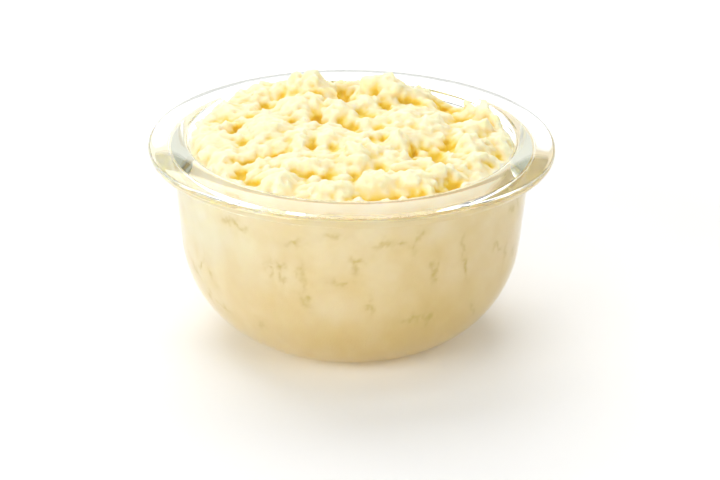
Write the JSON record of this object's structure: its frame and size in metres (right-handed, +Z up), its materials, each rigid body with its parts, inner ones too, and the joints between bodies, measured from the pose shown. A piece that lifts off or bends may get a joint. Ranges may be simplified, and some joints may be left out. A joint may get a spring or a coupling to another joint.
{
  "type": "mashed potato side in a glass bowl",
  "caption": "Small round clear glass bowl with a wide flat rim, filled and heaped with coarse pale yellow mashed potato.",
  "frame": {"origin": "centre of the flat foot, on the surface the bowl stands on, which is the middle of the bounding box's bottom", "axes": "+Z up along the bowl's axis; the side seen first faces -Y; +X to its right"},
  "size_m": [0.1, 0.1, 0.0575],
  "materials": {
    "clear_glass": "pressed clear glass, fire polished, very slightly green at its edges",
    "mashed_potato": null
  },
  "bodies": {
    "root": {"glass_bowl": "clear_glass", "mashed_potato": "mashed_potato"}
  },
  "joints": []
}
